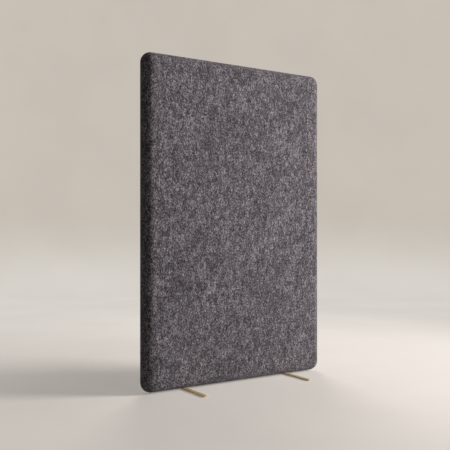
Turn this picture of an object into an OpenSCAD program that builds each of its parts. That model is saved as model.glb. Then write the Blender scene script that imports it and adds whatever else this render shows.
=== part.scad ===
/* [Panel] */
// Width of the covered panel
panel_w = 1000; // [800:10:1600]
// Height of the covered panel, from its underside to its top
panel_h = 1500; // [1000:10:2000]
// Thickness of the covered panel; its edges and corners round over half of it
panel_t = 90; // [84:1:110]
// Gap between the floor and the underside of the panel
floor_gap = 4; // [2:0.5:7]

/* [Cover and foam] */
// Thickness of the felt cover
cover_t = 2.5; // [1.5:0.1:4]
// Foam between the cover and the front or rear of the frame
face_foam_t = 11.5; // [8:0.5:14]
// Foam between the cover and the outer edges of the frame
edge_foam_t = 23.5; // [22:0.5:36]

/* [Frame] */
// Width of a stile, seen from the front
stile_w = 40; // [32:1:70]
// Height of the top rail
top_rail_h = 40; // [32:1:70]
// Height of the bottom rail, which carries the feet
bottom_rail_h = 60; // [50:1:90]
// Height of the battens across the middle
batten_h = 40; // [30:1:70]
// Radius of the outer corners of the frame
frame_corner_r = 12; // [8:1:18]
// Thickness of the board in the middle of the panel
septum_t = 4; // [3:0.5:8]
// Depth of the groove that holds the board's edge
groove_depth = 8; // [5:0.5:12]
// Diameter of the dowels in the frame's corners
dowel_d = 10; // [6:1:12]
// Length of the dowels
dowel_len = 60; // [40:1:70]
// Distance between the two dowels of a corner
dowel_spacing = 32; // [24:1:36]
// Diameter of the screws through the stiles
frame_screw_d = 5; // [4:0.5:6]
// Length of the screws through the stiles
frame_screw_len = 80; // [60:5:100]

/* [Feet] */
// Length of a foot bar, from front to rear
foot_len = 400; // [240:10:560]
// Width of a foot bar
foot_w = 20; // [18:1:50]
// Thickness of a foot bar
foot_t = 6; // [5.5:0.5:10]
// Distance from a foot bar's centre line to the near end of the panel
foot_inset = 208; // [150:1:320]
// Radius of the four upright corners of a foot bar
foot_corner_r = 5; // [0.5:0.5:6]
// Diameter of the screws that hold the feet
foot_screw_d = 6; // [5:1:8]
// Distance between the two screws of a foot
foot_screw_spacing = 28; // [24:1:30]
// Outer diameter of the spacer sleeves between foot and frame
sleeve_d = 12; // [11:1:16]
// Length of a floor pad, along the foot bar
pad_len = 60; // [20:5:100]
// Width of a floor pad
pad_w = 16; // [12:1:18]
// Thickness of a floor pad
pad_t = 1; // [0.5:0.5:2]
// Distance from the end of the foot bar to its floor pad
pad_inset = 6; // [2:1:30]

/* [Foot plates] */
// Length of a foot plate, along the bottom rail
plate_len = 76; // [66:1:110]
// Depth of a foot plate, across the bottom rail
plate_d = 54; // [52:1:58]
// Thickness of a foot plate
plate_t = 4; // [3:0.5:6]
// Width across the flats of the nut welded on the foot plate
nut_flats = 10; // [9:1:13]
// Height of that nut
nut_h = 5; // [4:0.5:8]
// Diameter of the wood screws that hold a foot plate
plate_screw_d = 4; // [3:0.5:5]
// Length of those wood screws
plate_screw_len = 30; // [20:1:40]
// Distance from a foot plate's edge to its wood screws
plate_screw_edge = 9; // [7:1:11]

/* [Zip] */
// Distance from each end of the panel to the zip's stops
zip_inset = 70; // [70:1:200]
// How far the zip lies round the lower edge, from straight down to the rear
zip_angle = 55; // [54:1:64]
// Width of one zip tape, from the coil's inner edge
tape_w = 12; // [9:1:16]
// Thickness of a zip tape
tape_t = 0.6; // [0.4:0.1:0.9]
// How far the tapes run on past the stops
tape_end = 12; // [5:1:14]
// Width of one coil
coil_w = 2.4; // [2:0.1:2.8]
// Height of the coils
coil_t = 1.5; // [1.2:0.1:1.8]
// Gap between the coils, where the slider's post passes
coil_gap = 1.4; // [1.2:0.1:1.8]
// Length of the stops at the zip's ends
stop_len = 3; // [2:0.5:6]
// Length of the slider
slider_len = 11; // [9:0.5:14]
// Thickness of the slider's two plates
slider_plate_t = 1; // [0.8:0.1:1.4]
// Width of the slider's side walls
slider_wall = 0.6; // [0.5:0.1:0.9]
// Length of the post that joins the slider's plates
post_len = 3; // [2:0.5:5]
// Inner radius of the bridge that carries the pull
bridge_r = 2.2; // [2:0.1:2.6]
// Thickness of the bridge
bridge_t = 1; // [0.8:0.1:1.4]
// Width of the bridge
bridge_w = 1.6; // [1.2:0.1:2]
// Length of the pull, from its crossbar to its tip
pull_len = 14; // [11:0.5:15]
// Width of the pull at its round tip
pull_w = 6; // [5.6:0.2:7]
// Thickness of the pull
pull_t = 1; // [0.8:0.1:1.2]
// Width of the pull's two legs
pull_leg = 1.1; // [0.9:0.1:1.3]

/* [Fits] */
// Clearance round the board, the core slabs and the frame in the foam
fit = 0.2; // [0.1:0.05:0.4]
// Clearance between the cover and what lies under it
skin_fit = 0.1; // [0.05:0.05:0.3]
// Clearance round screws, dowels and sleeves in their holes
screw_fit = 0.05; // [0.02:0.01:0.1]
// Clearance between a foot bar and the channel that it lies in
foot_fit = 0.3; // [0.2:0.1:1]
// Clearance round the zip's slider
slide_fit = 0.3; // [0.2:0.05:0.4]
// Clearance between the pull's crossbar and the bridge
pull_fit = 0.1; // [0.05:0.05:0.2]

/* [Hidden] */
$fn = 96;

// How far a cut runs past the solid that it cuts
overrun = 1;
// Sides of a hexagon
hexagon = 6;

// The slab: the axes of its rounded edges lie half its thickness in from its outline
slab_r = panel_t / 2;
edge_axis_x = panel_w / 2 - slab_r;
edge_axis_z = panel_h / 2 - slab_r;
panel_mid_z = floor_gap + panel_h / 2;
lower_axis_z = floor_gap + slab_r;

// The frame, inside the cover and the foam
frame_d = panel_t - 2 * (cover_t + face_foam_t);
frame_w = panel_w - 2 * (cover_t + edge_foam_t);
frame_h = panel_h - 2 * (cover_t + edge_foam_t);
frame_bottom = floor_gap + cover_t + edge_foam_t;
frame_top = frame_bottom + frame_h;
frame_mid_z = (frame_bottom + frame_top) / 2;
bay_w = frame_w - 2 * stile_w;
bay_bottom = frame_bottom + bottom_rail_h;
bay_top = frame_top - top_rail_h;
bay_h = bay_top - bay_bottom;
bay_mid_z = (bay_bottom + bay_top) / 2;
batten_d = (frame_d - septum_t) / 2;
batten_y = septum_t / 2 + batten_d / 2;
batten_top = bay_mid_z + batten_h / 2;
batten_bottom = bay_mid_z - batten_h / 2;
top_rail_mid_z = frame_top - top_rail_h / 2;
bottom_rail_mid_z = frame_bottom + bottom_rail_h / 2;
// The board stops this far short of the bottom of its groove
groove_end_fit = 1;

// The feet
foot_x = panel_w / 2 - foot_inset;
foot_top = pad_t + foot_t;
sleeve_len = frame_bottom - foot_top;
sides = [-1, 1];
plate_screw_x = plate_len / 2 - plate_screw_edge;
plate_screw_y = plate_d / 2 - plate_screw_edge;
// A foot's screw passes its nut by this much
screw_end = 1.5;
foot_screw_len = frame_bottom + plate_t + nut_h + screw_end - pad_t;
// The hexagon socket in a foot screw's head
socket_flats_share = 2 / 3;
socket_depth_share = 1 / 3;
// The screws' tapered tips, as a share of their diameter
tip_share = 0.8;
tip_r_share = 0.15;

// The zip, from its tapes out to the bridge of its slider
zip_len = panel_w - 2 * zip_inset;
tape_outer_r = slab_r - cover_t - skin_fit;
tape_inner_r = tape_outer_r - tape_t;
coil_outer_r = tape_outer_r + coil_t;
coil_edge = coil_gap / 2 + coil_w;
slider_half_w = coil_edge + slide_fit + slider_wall;
slit_w = 2 * (slider_half_w + 2 * slide_fit);
// The tapes curve away from a flat plate by this much at the slider's edge
tape_drop = tape_inner_r - sqrt(tape_inner_r * tape_inner_r - slider_half_w * slider_half_w);
inner_plate_top = tape_inner_r - tape_drop - slide_fit;
inner_plate_bottom = inner_plate_top - slider_plate_t;
outer_plate_bottom = coil_outer_r + slide_fit;
outer_plate_top = outer_plate_bottom + slider_plate_t;
post_w = coil_gap - 2 * slide_fit;
slider_x = zip_len / 2 - stop_len - slide_fit - slider_len / 2;
crossbar_r = pull_t / 2;
pull_axis_r = outer_plate_top + bridge_r - pull_fit - crossbar_r;
// The pull's eye clears the foot of the bridge when the pull lies flat
bridge_outer_r = bridge_r + bridge_t;
bridge_reach = norm([bridge_outer_r, pull_axis_r - outer_plate_top]);
eye_len = bridge_reach + slide_fit;
eye_half_w = bridge_w / 2 + slide_fit;
pull_head_half_w = eye_half_w + pull_leg;

FELT = "#6b6569";
FOAM = "#3f3f41";
TIMBER = "#d8b98a";
BOARD = "#8a6a48";
WOOL = "#b9b7a5";
DOWEL = "#e6cfa4";
STEEL = "#a9acb0";
BRASS = "#b79a5b";
RUBBER = "#2b2a29";
TAPE = "#3d393b";
COIL = "#4a4648";

// A slab with flat faces, whose edges and corners are fully round, drawn in by inset all round
module slab(inset) {
    r = slab_r - inset;
    translate([0, 0, panel_mid_z]) {
        cube([2 * edge_axis_x, 2 * r, 2 * edge_axis_z], center = true);
        for (side = sides) {
            translate([side * edge_axis_x, 0, 0]) cylinder(r = r, h = 2 * edge_axis_z, center = true);
            translate([0, 0, side * edge_axis_z]) rotate([0, 90, 0])
                cylinder(r = r, h = 2 * edge_axis_x, center = true);
            for (end = sides) translate([side * edge_axis_x, 0, end * edge_axis_z]) sphere(r = r);
        }
    }
}

// The channel that a foot bar presses into the underside, grown by wall on its top and sides
module foot_channels(wall) {
    for (side = sides) translate([side * foot_x, 0, 0])
        box_up([foot_w + 2 * (foot_fit + wall), panel_t + 2 * overrun, foot_top + wall]);
}

// A box that stands on its own middle, at the height of its origin
module box_up(size) {
    translate([-size[0] / 2, -size[1] / 2, 0]) cube(size);
}

// A flat bar or plate with its upright corners rounded, standing on its own middle
module rounded_plate(size, r) {
    linear_extrude(height = size[2]) {
        square([size[0] - 2 * r, size[1]], center = true);
        square([size[0], size[1] - 2 * r], center = true);
        for (x = sides, y = sides) translate([x * (size[0] / 2 - r), y * (size[1] / 2 - r)]) circle(r = r);
    }
}

// A countersunk screw: its head is flush with its origin, and it points up
module countersunk(d, len, tip) {
    cylinder(r1 = d, r2 = d / 2, h = d / 2);
    cylinder(d = d, h = len - tip);
    if (tip > 0) translate([0, 0, len - tip]) cylinder(r1 = d / 2, r2 = d * tip_r_share, h = tip);
}

// The hole that such a screw lies in, with the screws' clearance all round
module countersunk_hole(d, len) {
    translate([0, 0, -overrun]) cylinder(r = d + screw_fit, h = overrun);
    cylinder(r1 = d + screw_fit, r2 = d / 2 + screw_fit, h = d / 2);
    cylinder(r = d / 2 + screw_fit, h = len + screw_fit);
}

// Places what it holds at each screw of a foot
module at_foot_screws() {
    for (side = sides, y = sides) translate([side * foot_x, y * foot_screw_spacing / 2, 0]) children();
}

// Places what it holds at each wood screw of the foot plates
module at_plate_screws() {
    for (side = sides, x = sides, y = sides)
        translate([side * foot_x + x * plate_screw_x, y * plate_screw_y, frame_bottom]) children();
}

// Places what it holds on the outer face of each stile, pointing inwards, at a height and a depth
module at_stiles(z, y) {
    for (side = sides) translate([side * frame_w / 2, y, z]) rotate([0, -side * 90, 0]) children();
}

// The frame's corner joints: the dowels lie half in the stile and half in the rail
module dowels(clearance) {
    for (z = [bottom_rail_mid_z, top_rail_mid_z], y = sides) at_stiles(z, y * dowel_spacing / 2)
        translate([0, 0, stile_w - dowel_len / 2 - clearance])
            cylinder(r = dowel_d / 2 + clearance, h = dowel_len + 2 * clearance);
}

// The room of the board in the middle, in the grooves of the frame
module septum_room() {
    septum_block(septum_t + 2 * fit, groove_depth);
}

// A board across the bay, with its edges run into the frame by a depth
module septum_block(thickness, depth) {
    translate([0, 0, bay_bottom - depth]) box_up([bay_w + 2 * depth, thickness, bay_h + 2 * depth]);
}

// The holes of the screws through the stiles into the rails and battens
module frame_screw_holes() {
    for (z = [bottom_rail_mid_z, top_rail_mid_z]) at_stiles(z, 0)
        countersunk_hole(frame_screw_d, frame_screw_len);
    for (y = sides) at_stiles(bay_mid_z, y * batten_y) countersunk_hole(frame_screw_d, frame_screw_len);
}

// The outline of the frame with its rounded corners, grown by a clearance
module frame_block(clearance) {
    translate([0, 0, frame_mid_z]) rotate([90, 0, 0])
        translate([0, 0, -frame_d / 2 - clearance])
            rounded_plate(
                [frame_w + 2 * clearance, frame_h + 2 * clearance, frame_d + 2 * clearance],
                frame_corner_r + clearance
            );
}

// The local frame of the zip: X along the zip, Z straight out of the rounded lower edge
module at_zip() {
    translate([0, 0, lower_axis_z]) rotate([180 + zip_angle, 0, 0]) children();
}

// A strip along the zip that follows the rounded edge, between two radii and two widths
module zip_strip(inner_r, outer_r, from_w, to_w, len) {
    rotate([90, 0, 90]) linear_extrude(height = len, center = true) intersection() {
        difference() {
            circle(r = outer_r);
            circle(r = inner_r);
        }
        translate([from_w, 0]) square([to_w - from_w, outer_r + overrun]);
    }
}

// The room in the foam for the tapes and for the inner plate of the slider
module zip_room() {
    tape_edge = coil_gap / 2 + tape_w + fit;
    at_zip() {
        zip_strip(tape_inner_r - fit, slab_r, -tape_edge, tape_edge, zip_len + 2 * (tape_end + fit));
        translate([0, 0, inner_plate_bottom - slide_fit])
            box_up([zip_len, 2 * (slider_half_w + slide_fit), cover_t + slab_r - inner_plate_bottom]);
    }
}

module felt_cover() {
    color(FELT) difference() {
        slab(0);
        difference() {
            slab(cover_t);
            foot_channels(cover_t);
        }
        foot_channels(0);
        at_foot_screws() cylinder(r = sleeve_d / 2 + screw_fit, h = frame_bottom);
        at_zip() translate([0, 0, inner_plate_bottom])
            box_up([zip_len, slit_w, cover_t + slab_r - inner_plate_bottom]);
    }
}

// Half of the foam that wraps the frame, on the side given: -1 at the front and 1 at the rear
module foam_half(side) {
    color(FOAM) difference() {
        slab(cover_t + skin_fit);
        translate([0, -side * (slab_r + overrun - fit) / 2, floor_gap - overrun])
            box_up([panel_w + 2 * overrun, slab_r + overrun, panel_h + 2 * overrun]);
        frame_block(fit);
        foot_channels(cover_t + skin_fit);
        at_foot_screws() cylinder(r = sleeve_d / 2 + screw_fit, h = frame_bottom + overrun);
        if (side > 0) zip_room();
    }
}

module foam_front() {
    foam_half(-1);
}

module foam_rear() {
    foam_half(1);
}

// A stile: the part of the frame's outline beyond the bay, on the side given
module stile(side) {
    color(TIMBER) difference() {
        frame_block(0);
        translate([-side * stile_w, 0, frame_bottom - overrun])
            box_up([frame_w, panel_t, frame_h + 2 * overrun]);
        septum_room();
        dowels(screw_fit);
        frame_screw_holes();
    }
}

module left_stile() {
    stile(-1);
}

module right_stile() {
    stile(1);
}

module top_rail() {
    color(TIMBER) difference() {
        translate([0, 0, bay_top]) box_up([bay_w, frame_d, top_rail_h]);
        septum_room();
        dowels(screw_fit);
        frame_screw_holes();
    }
}

module bottom_rail() {
    color(TIMBER) difference() {
        translate([0, 0, frame_bottom]) box_up([bay_w, frame_d, bottom_rail_h]);
        septum_room();
        dowels(screw_fit);
        frame_screw_holes();
        for (side = sides) translate([side * foot_x, 0, frame_bottom - overrun])
            box_up([plate_len + 2 * fit, plate_d + 2 * fit, plate_t + overrun]);
        at_foot_screws() translate([0, 0, frame_bottom + plate_t - overrun])
            cylinder(d = nut_flats / cos(180 / hexagon) + 2 * fit, h = nut_h + screw_end + fit + overrun);
        at_plate_screws() cylinder(r = plate_screw_d / 2 + screw_fit, h = plate_screw_len + screw_fit);
    }
}

module septum_board() {
    color(BOARD) septum_block(septum_t, groove_depth - groove_end_fit);
}

// A batten across the middle of the bay, on the side given
module mid_batten(side) {
    color(TIMBER) difference() {
        translate([0, side * (batten_y + fit / 2), batten_bottom]) box_up([bay_w, batten_d - fit, batten_h]);
        frame_screw_holes();
    }
}

module mid_batten_front() {
    mid_batten(-1);
}

module mid_batten_rear() {
    mid_batten(1);
}

// A slab of sound-absorbing wool that fills a bay between two heights, on the side given
module core(side, from_z, to_z) {
    color(WOOL) translate([0, side * (batten_y + fit / 2), from_z + fit])
        box_up([bay_w - 2 * fit, batten_d - fit, to_z - from_z - 2 * fit]);
}

module core_front_upper() {
    core(-1, batten_top, bay_top);
}

module core_front_lower() {
    core(-1, bay_bottom, batten_bottom);
}

module core_rear_upper() {
    core(1, batten_top, bay_top);
}

module core_rear_lower() {
    core(1, bay_bottom, batten_bottom);
}

module frame_dowels() {
    color(DOWEL) dowels(0);
}

module frame_screws() {
    color(STEEL) for (z = [bottom_rail_mid_z, top_rail_mid_z]) at_stiles(z, 0)
        countersunk(frame_screw_d, frame_screw_len, frame_screw_d * tip_share);
}

module batten_screws() {
    color(STEEL) for (y = sides) at_stiles(bay_mid_z, y * batten_y)
        countersunk(frame_screw_d, frame_screw_len, frame_screw_d * tip_share);
}

// A steel plate let into the underside of the bottom rail, on the side given
module foot_plate(side) {
    color(STEEL) difference() {
        translate([side * foot_x, 0, frame_bottom]) box_up([plate_len, plate_d, plate_t]);
        at_foot_screws() cylinder(r = foot_screw_d / 2 + fit, h = frame_bottom + plate_t + overrun);
        at_plate_screws() countersunk_hole(plate_screw_d, plate_screw_len);
    }
}

module foot_plate_left() {
    foot_plate(-1);
}

module foot_plate_right() {
    foot_plate(1);
}

module plate_screws() {
    color(STEEL) at_plate_screws()
        countersunk(plate_screw_d, plate_screw_len, plate_screw_d * tip_share);
}

module foot_nuts() {
    color(STEEL) at_foot_screws() translate([0, 0, frame_bottom + plate_t]) difference() {
        cylinder(d = nut_flats / cos(180 / hexagon), h = nut_h, $fn = hexagon);
        translate([0, 0, -overrun]) cylinder(r = foot_screw_d / 2 + screw_fit, h = nut_h + 2 * overrun);
    }
}

module foot_sleeves() {
    color(STEEL) at_foot_screws() translate([0, 0, foot_top]) difference() {
        cylinder(d = sleeve_d, h = sleeve_len);
        translate([0, 0, -overrun]) cylinder(r = foot_screw_d / 2 + fit, h = sleeve_len + 2 * overrun);
    }
}

// A flat bar that lies across the underside, on the side given
module foot_bar(side) {
    color(BRASS) difference() {
        translate([side * foot_x, 0, pad_t]) rounded_plate([foot_w, foot_len, foot_t], foot_corner_r);
        at_foot_screws() translate([0, 0, pad_t]) {
            countersunk_hole(foot_screw_d, foot_t);
            cylinder(r = foot_screw_d / 2 + fit, h = foot_t + overrun);
        }
    }
}

module foot_bar_left() {
    foot_bar(-1);
}

module foot_bar_right() {
    foot_bar(1);
}

module foot_screws() {
    color(BRASS) at_foot_screws() translate([0, 0, pad_t]) difference() {
        countersunk(foot_screw_d, foot_screw_len, 0);
        translate([0, 0, -overrun]) cylinder(
            d = foot_screw_d * socket_flats_share / cos(180 / hexagon),
            h = foot_screw_d * socket_depth_share + overrun,
            $fn = hexagon
        );
    }
}

// The pads under the ends of a foot bar, on the side given
module floor_pads(side) {
    color(RUBBER) for (end = sides)
        translate([side * foot_x, end * (foot_len / 2 - pad_inset - pad_len / 2), 0])
            box_up([pad_w, pad_len, pad_t]);
}

module floor_pads_left() {
    floor_pads(-1);
}

module floor_pads_right() {
    floor_pads(1);
}

// A zip tape under the cover, on the side given: -1 is above the coils and 1 is below them
module zip_tape(side) {
    color(TAPE) at_zip() mirror([0, side < 0 ? 1 : 0, 0])
        zip_strip(tape_inner_r, tape_outer_r, coil_gap / 2, coil_gap / 2 + tape_w, zip_len + 2 * tape_end);
}

module zip_tape_upper() {
    zip_tape(-1);
}

module zip_tape_lower() {
    zip_tape(1);
}

// A row of coil teeth on the edge of its tape, on the side given
module zip_coil(side) {
    color(COIL) at_zip() mirror([0, side < 0 ? 1 : 0, 0])
        zip_strip(tape_outer_r, coil_outer_r, coil_gap / 2, coil_edge, zip_len - 2 * stop_len);
}

module zip_coil_upper() {
    zip_coil(-1);
}

module zip_coil_lower() {
    zip_coil(1);
}

// Two clips stop the slider at the closed end, and one across both tapes stops it at the open end
module zip_stops() {
    stop_x = (zip_len - stop_len) / 2;
    stop_edge = slider_half_w;
    color(BRASS) at_zip() {
        for (side = [0, 1]) mirror([0, side, 0]) translate([stop_x, 0, 0])
            zip_strip(tape_outer_r, coil_outer_r, coil_gap / 2, stop_edge, stop_len);
        translate([-stop_x, 0, 0])
            zip_strip(tape_outer_r, coil_outer_r, -stop_edge, stop_edge, stop_len);
    }
}

// The slider: two plates round the tapes, joined by a post between the coils, and the pull's bridge
module zip_slider() {
    color(BRASS) at_zip() translate([slider_x, 0, 0]) {
        translate([0, 0, inner_plate_bottom]) box_up([slider_len, 2 * slider_half_w, slider_plate_t]);
        translate([0, 0, outer_plate_bottom]) box_up([slider_len, 2 * slider_half_w, slider_plate_t]);
        translate([(slider_len - post_len) / 2, 0, inner_plate_bottom])
            box_up([post_len, post_w, outer_plate_top - inner_plate_bottom]);
        for (side = sides)
            translate([0, side * (slider_half_w - slider_wall / 2), tape_outer_r + slide_fit])
                box_up([slider_len, slider_wall, outer_plate_top - tape_outer_r - slide_fit]);
        translate([0, 0, outer_plate_top]) difference() {
            rotate([90, 0, 0]) cylinder(r = bridge_outer_r, h = bridge_w, center = true);
            rotate([90, 0, 0]) cylinder(r = bridge_r, h = bridge_w + 2 * overrun, center = true);
            translate([0, 0, -bridge_outer_r - slider_plate_t])
                box_up([2 * bridge_outer_r + overrun, bridge_w + overrun, bridge_outer_r]);
        }
    }
}

// The pull hangs on the bridge by its crossbar
module zip_pull() {
    tip_r = pull_w / 2;
    color(BRASS) at_zip() translate([slider_x, 0, pull_axis_r]) {
        rotate([90, 0, 0]) cylinder(r = crossbar_r, h = 2 * pull_head_half_w, center = true);
        rotate([90, 0, 90]) linear_extrude(height = pull_t, center = true) difference() {
            union() {
                translate([-pull_head_half_w, 0]) square([2 * pull_head_half_w, pull_len - tip_r]);
                translate([0, pull_len - tip_r]) circle(r = tip_r);
            }
            translate([-eye_half_w, -overrun]) square([2 * eye_half_w, eye_len + overrun]);
        }
    }
}

felt_cover();
foam_front();
foam_rear();
top_rail();
bottom_rail();
left_stile();
right_stile();
septum_board();
mid_batten_front();
mid_batten_rear();
core_front_upper();
core_front_lower();
core_rear_upper();
core_rear_lower();
frame_dowels();
frame_screws();
batten_screws();
foot_plate_left();
foot_plate_right();
plate_screws();
foot_nuts();
foot_sleeves();
foot_bar_left();
foot_bar_right();
foot_screws();
floor_pads_left();
floor_pads_right();
zip_tape_upper();
zip_tape_lower();
zip_coil_upper();
zip_coil_lower();
zip_stops();
zip_slider();
zip_pull();
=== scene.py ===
"""The looks of an acoustic divider screen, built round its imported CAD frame.

A felt cover is drawn taut over foam, on a timber frame filled with sound-absorbing wool.
Two flat brass bars carry the screen, and a coil zip under the rear lower edge lets the
cover come off.
"""

import logging
import math
from dataclasses import dataclass, field
from enum import Enum
from functools import cache
from typing import Any, Callable, Mapping, Sequence

import bpy
import numpy as np
from mathutils import Matrix, Vector


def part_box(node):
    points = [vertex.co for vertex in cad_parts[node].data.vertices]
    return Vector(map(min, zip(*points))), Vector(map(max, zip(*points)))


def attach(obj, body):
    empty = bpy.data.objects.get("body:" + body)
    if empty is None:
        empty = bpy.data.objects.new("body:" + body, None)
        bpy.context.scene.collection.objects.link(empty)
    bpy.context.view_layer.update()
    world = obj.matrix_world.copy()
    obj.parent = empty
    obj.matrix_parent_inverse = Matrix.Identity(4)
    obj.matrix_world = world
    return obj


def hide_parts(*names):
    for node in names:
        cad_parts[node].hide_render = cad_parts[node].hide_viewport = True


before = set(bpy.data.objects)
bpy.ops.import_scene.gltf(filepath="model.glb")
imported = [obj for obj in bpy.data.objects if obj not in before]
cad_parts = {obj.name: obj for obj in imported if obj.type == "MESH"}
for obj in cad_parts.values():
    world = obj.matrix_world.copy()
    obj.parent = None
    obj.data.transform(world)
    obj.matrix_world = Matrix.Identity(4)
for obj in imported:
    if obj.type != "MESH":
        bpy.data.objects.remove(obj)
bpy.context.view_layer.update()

MM = 0.001
TINY = 0.001 * MM

Point = tuple[float, float, float]
Colour = tuple[float, float, float]

log = logging.getLogger("screen")


class Body(Enum):
    """The bodies of the CAD model that pieces ride on."""

    SCREEN = "screen"
    SLIDER = "slider"
    PULL = "pull"


class Slot(Enum):
    """The material slots of the record."""

    FELT = "felt"
    FOAM = "foam"
    TIMBER = "timber"
    BOARD = "board"
    WOOL = "wool"
    BEECH = "beech"
    STEEL = "steel"
    FOOT_BRASS = "foot_brass"
    PAD_RUBBER = "pad_rubber"
    ZIP_TAPE = "zip_tape"
    ZIP_COIL = "zip_coil"
    ZIP_METAL = "zip_metal"


class Pick(Enum):
    """What an edit-mode selection is made of."""

    EDGES = (False, True, False)
    FACES = (False, False, True)


class Axis(Enum):
    """A direction of the frame, as a place in a vector."""

    X = 0
    Y = 1
    Z = 2


# Shader sockets


@dataclass(frozen=True)
class Wire:
    """A number that a shader node gives. Python's operators carry it on into Math nodes."""

    bench: "Bench"
    socket: bpy.types.NodeSocket

    def math(self, operation: str, *values: Any) -> "Wire":
        """Adds one Math node.

        Args:
            operation: the node's operation.
            values: its inputs, in order, as wires or numbers.

        Returns:
            The node's result.
        """
        return self.bench.wire("ShaderNodeMath", {"operation": operation}, dict(enumerate(values)))

    def __add__(self, other: Any) -> "Wire":
        """The sum."""
        return self.math("ADD", self, other)

    def __rsub__(self, other: Any) -> "Wire":
        """The difference, from a number."""
        return self.math("SUBTRACT", other, self)

    def __mul__(self, other: Any) -> "Wire":
        """The product."""
        return self.math("MULTIPLY", self, other)

    def highest(self, other: Any) -> "Wire":
        """The larger of two values."""
        return self.math("MAXIMUM", self, other)

    def sine(self) -> "Wire":
        """The sine."""
        return self.math("SINE", self)

    def spread(self, low: float, high: float, to_low: float = 0.0, to_high: float = 1.0) -> "Wire":
        """Stretches a range smoothly over another, and clamps it.

        Args:
            low: the value that becomes to_low.
            high: the value that becomes to_high.
            to_low: the start of the new range.
            to_high: the end of the new range.

        Returns:
            The stretched value.
        """
        sockets = {0: self, 1: low, 2: high, 3: to_low, 4: to_high}
        return self.bench.wire("ShaderNodeMapRange", {"interpolation_type": "SMOOTHSTEP"}, sockets)


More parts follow.
